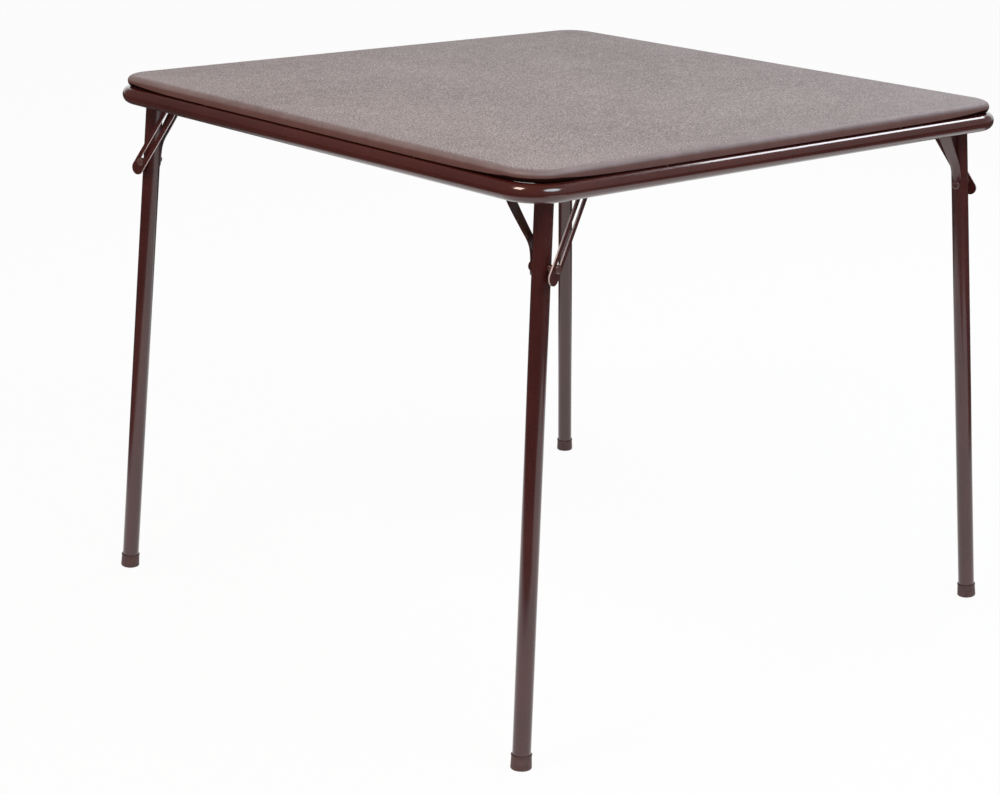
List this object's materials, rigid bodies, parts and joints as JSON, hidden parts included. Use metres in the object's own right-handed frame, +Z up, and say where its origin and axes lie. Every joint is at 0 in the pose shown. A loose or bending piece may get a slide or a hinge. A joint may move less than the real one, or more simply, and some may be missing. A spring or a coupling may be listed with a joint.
{
  "type": "folding card table",
  "caption": "Square folding card table with a padded vinyl top on a tube rail and splayed tube legs held open by slotted links.",
  "frame": {"origin": "on the floor under the middle of the top, at the bottom centre of the table's box", "axes": "+Z up; +X from the front left corner to the front right one; +Y to the rear"},
  "size_m": [0.8708, 0.8708, 0.7049],
  "materials": {
    "cover_vinyl": "suede-look vinyl",
    "foam": "open-cell foam",
    "hardboard": "tempered hardboard",
    "rail_paint": "glossy powder coat",
    "leg_paint": "glossy powder coat",
    "cap_plastic": "satin",
    "zinc_steel": "zinc plated"
  },
  "bodies": {
    "table_top": {"vinyl_cover": "cover_vinyl", "foam_pad": "foam", "top_board": "hardboard", "frame_rail": "rail_paint", "bracket_screws": "zinc_steel", "rail_screws": "zinc_steel", "rod_push_nuts": "zinc_steel", "corner_bracket_front_left": "rail_paint", "pivot_rod_front_left": "zinc_steel", "link_rivet_front_left": "leg_paint", "corner_bracket_front_right": "rail_paint", "pivot_rod_front_right": "zinc_steel", "link_rivet_front_right": "leg_paint", "corner_bracket_rear_right": "rail_paint", "pivot_rod_rear_right": "zinc_steel", "link_rivet_rear_right": "leg_paint", "corner_bracket_rear_left": "rail_paint", "pivot_rod_rear_left": "zinc_steel", "link_rivet_rear_left": "leg_paint"},
    "leg_front_left": {"leg_tube_front_left": "leg_paint", "leg_strap_front_left": "leg_paint", "leg_rivet_front_left": "leg_paint", "foot_cap_front_left": "cap_plastic"},
    "link_front_left": {"lock_link_front_left": "leg_paint"},
    "stud_front_left": {"lock_stud_front_left": "leg_paint"},
    "leg_front_right": {"leg_tube_front_right": "leg_paint", "leg_strap_front_right": "leg_paint", "leg_rivet_front_right": "leg_paint", "foot_cap_front_right": "cap_plastic"},
    "link_front_right": {"lock_link_front_right": "leg_paint"},
    "stud_front_right": {"lock_stud_front_right": "leg_paint"},
    "leg_rear_right": {"leg_tube_rear_right": "leg_paint", "leg_strap_rear_right": "leg_paint", "leg_rivet_rear_right": "leg_paint", "foot_cap_rear_right": "cap_plastic"},
    "link_rear_right": {"lock_link_rear_right": "leg_paint"},
    "stud_rear_right": {"lock_stud_rear_right": "leg_paint"},
    "leg_rear_left": {"leg_tube_rear_left": "leg_paint", "leg_strap_rear_left": "leg_paint", "leg_rivet_rear_left": "leg_paint", "foot_cap_rear_left": "cap_plastic"},
    "link_rear_left": {"lock_link_rear_left": "leg_paint"},
    "stud_rear_left": {"lock_stud_rear_left": "leg_paint"}
  },
  "joints": [
    {"name": "leg_fold_front_left", "type": "hinge", "parent": "table_top", "child": "leg_front_left", "pos_m": [-0.37225, -0.38624, 0.6761], "axis": [0.2418, -0.9698, 0.032], "range_deg": [0, 94.86]},
    {"name": "link_swing_front_left", "type": "hinge", "parent": "table_top", "child": "link_front_left", "pos_m": [-0.31814, -0.37271, 0.6771], "axis": [0.2418, -0.9698, 0.032], "range_deg": [0, 124.03]},
    {"name": "stud_slide_front_left", "type": "slide", "parent": "link_front_left", "child": "stud_front_left", "axis": [0.5627, 0.167, 0.8096], "range_m": [0, 0.07689]},
    {"name": "leg_fold_front_right", "type": "hinge", "parent": "table_top", "child": "leg_front_right", "pos_m": [0.38624, -0.37225, 0.6761], "axis": [0.9698, 0.2418, 0.032], "range_deg": [0, 94.86]},
    {"name": "link_swing_front_right", "type": "hinge", "parent": "table_top", "child": "link_front_right", "pos_m": [0.37271, -0.31814, 0.6771], "axis": [0.9698, 0.2418, 0.032], "range_deg": [0, 124.03]},
    {"name": "stud_slide_front_right", "type": "slide", "parent": "link_front_right", "child": "stud_front_right", "axis": [-0.167, 0.5627, 0.8096], "range_m": [0, 0.07689]},
    {"name": "leg_fold_rear_right", "type": "hinge", "parent": "table_top", "child": "leg_rear_right", "pos_m": [0.37225, 0.38624, 0.6761], "axis": [-0.2418, 0.9698, 0.032], "range_deg": [0, 94.86]},
    {"name": "link_swing_rear_right", "type": "hinge", "parent": "table_top", "child": "link_rear_right", "pos_m": [0.31814, 0.37271, 0.6771], "axis": [-0.2418, 0.9698, 0.032], "range_deg": [0, 124.03]},
    {"name": "stud_slide_rear_right", "type": "slide", "parent": "link_rear_right", "child": "stud_rear_right", "axis": [-0.5627, -0.167, 0.8096], "range_m": [0, 0.07689]},
    {"name": "leg_fold_rear_left", "type": "hinge", "parent": "table_top", "child": "leg_rear_left", "pos_m": [-0.38624, 0.37225, 0.6761], "axis": [-0.9698, -0.2418, 0.032], "range_deg": [0, 94.86]},
    {"name": "link_swing_rear_left", "type": "hinge", "parent": "table_top", "child": "link_rear_left", "pos_m": [-0.37271, 0.31814, 0.6771], "axis": [-0.9698, -0.2418, 0.032], "range_deg": [0, 124.03]},
    {"name": "stud_slide_rear_left", "type": "slide", "parent": "link_rear_left", "child": "stud_rear_left", "axis": [0.167, -0.5627, 0.8096], "range_m": [0, 0.07689]}
  ],
  "couplings": [
    {"joint": "link_swing_front_left", "follows": "leg_fold_front_left", "ratio": 1.3075},
    {"joint": "stud_slide_front_left", "follows": "leg_fold_front_left", "m_per_rad": 0.04644},
    {"joint": "link_swing_front_right", "follows": "leg_fold_front_right", "ratio": 1.3075},
    {"joint": "stud_slide_front_right", "follows": "leg_fold_front_right", "m_per_rad": 0.04644},
    {"joint": "link_swing_rear_right", "follows": "leg_fold_rear_right", "ratio": 1.3075},
    {"joint": "stud_slide_rear_right", "follows": "leg_fold_rear_right", "m_per_rad": 0.04644},
    {"joint": "link_swing_rear_left", "follows": "leg_fold_rear_left", "ratio": 1.3075},
    {"joint": "stud_slide_rear_left", "follows": "leg_fold_rear_left", "m_per_rad": 0.04644}
  ]
}
